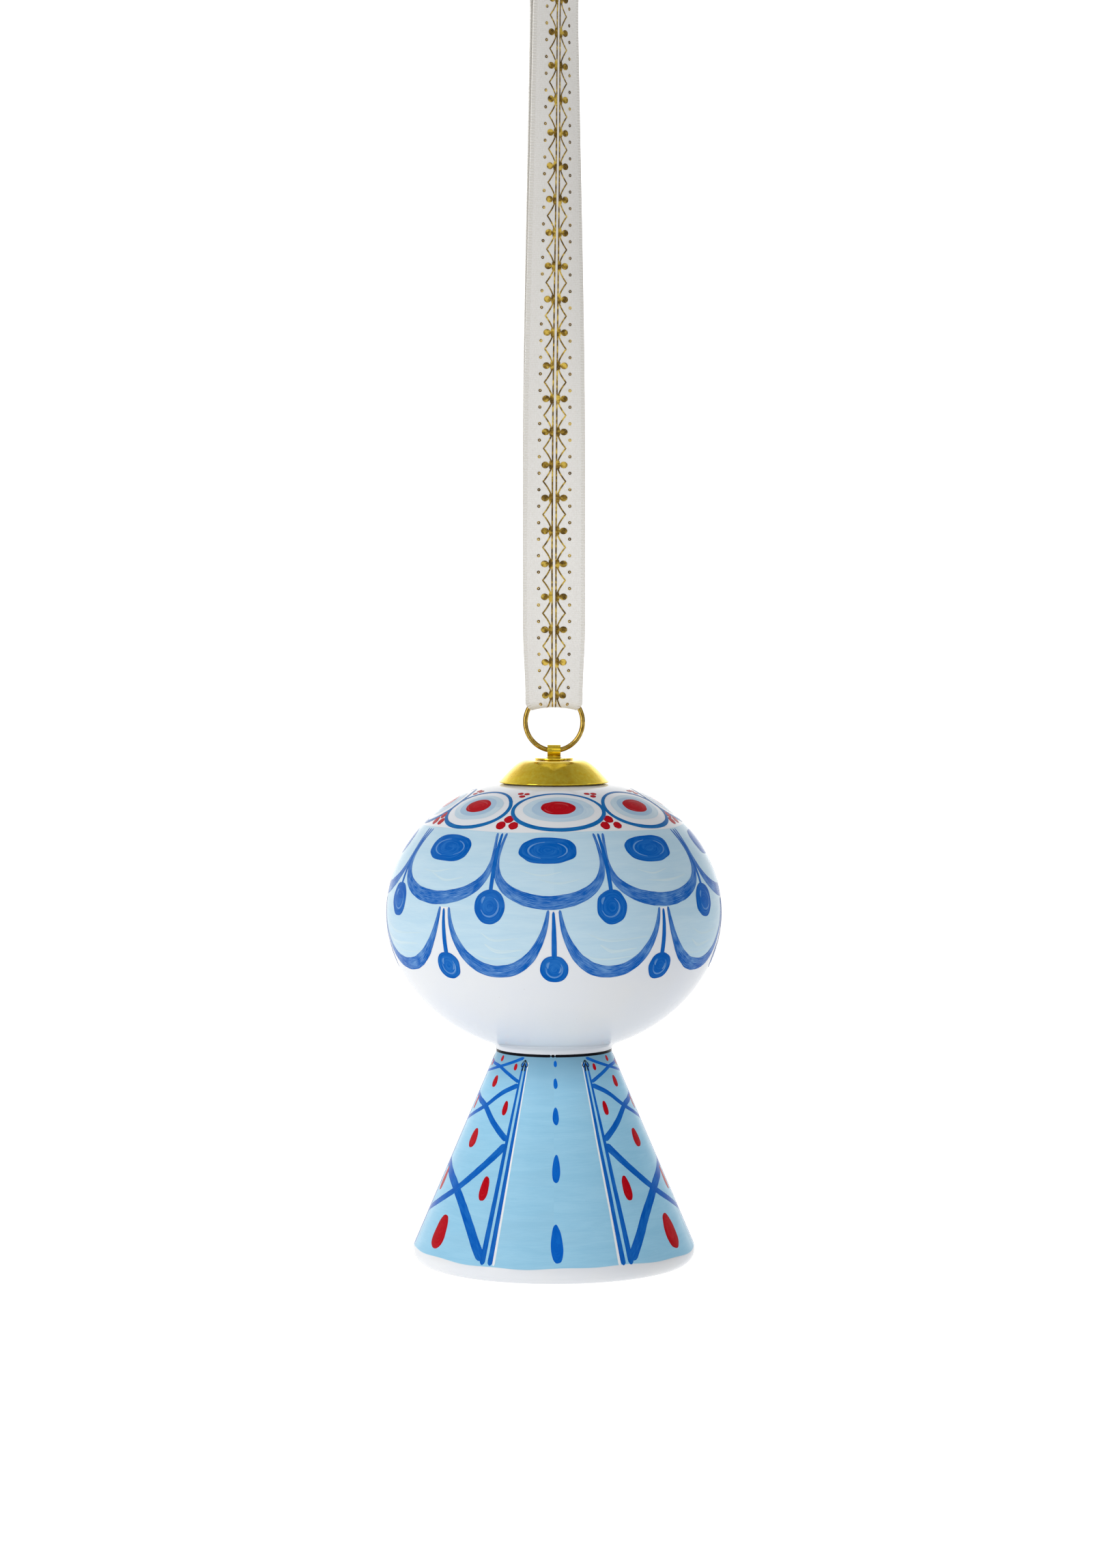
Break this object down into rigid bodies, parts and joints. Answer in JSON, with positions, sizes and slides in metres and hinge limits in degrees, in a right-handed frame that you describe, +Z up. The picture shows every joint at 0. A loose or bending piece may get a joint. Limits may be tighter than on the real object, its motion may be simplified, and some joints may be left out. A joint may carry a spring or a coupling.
{
  "type": "porcelain bell ornament",
  "caption": "Glazed porcelain globe and cone bell under a domed gold cap, hung on a wire ring and a folded satin ribbon loop, with a clapper on a wire inside.",
  "frame": {"origin": "top of the ribbon loop, where the ornament hangs", "axes": "+Z up along the hanging ornament, -Y towards the viewer, +X to the viewer's right"},
  "size_m": [0.056, 0.056, 0.2438],
  "materials": {
    "ribbon_satin": "cream satin with ribbed selvages and gold foil print",
    "thread": "cream polyester sewing thread",
    "gold_metal": "bright polished gold plating",
    "adhesive": "dull set cement",
    "steel": "drawn bright wire and stamped sheet",
    "porcelain": "glossy glaze, white ground painted in blues and red"
  },
  "bodies": {
    "ribbon": {"ribbon": "ribbon_satin", "lap_stitch": "thread"},
    "ring": {"hanging_ring": "gold_metal"},
    "bell": {"strap_eye": "gold_metal", "boss_washer": "gold_metal", "cap": "gold_metal", "cement_ring": "adhesive", "retaining_plate": "steel", "porcelain_body": "porcelain"},
    "hanger": {"hanger_wire": "steel"},
    "clapper": {"clapper_wire": "steel", "clapper_ball": "porcelain", "clapper_stop": "steel"}
  },
  "joints": [
    {"name": "ring_swing", "type": "hinge", "parent": "ribbon", "child": "ring", "pos_m": [0, 0, -0.1507], "axis": [1, 0, 0], "range_deg": [-15, 15]},
    {"name": "bell_swing", "type": "hinge", "parent": "ring", "child": "bell", "pos_m": [0, 0, -0.158], "axis": [1, 0, 0], "range_deg": [-70, 70]},
    {"name": "clapper_swivel", "type": "hinge", "parent": "bell", "child": "hanger", "pos_m": [0, 0, -0.163], "axis": [0, 0, 1], "continuous": true},
    {"name": "clapper_swing", "type": "hinge", "parent": "hanger", "child": "clapper", "pos_m": [0, 0, -0.205], "axis": [1, 0, 0], "range_deg": [-21, 21]}
  ]
}
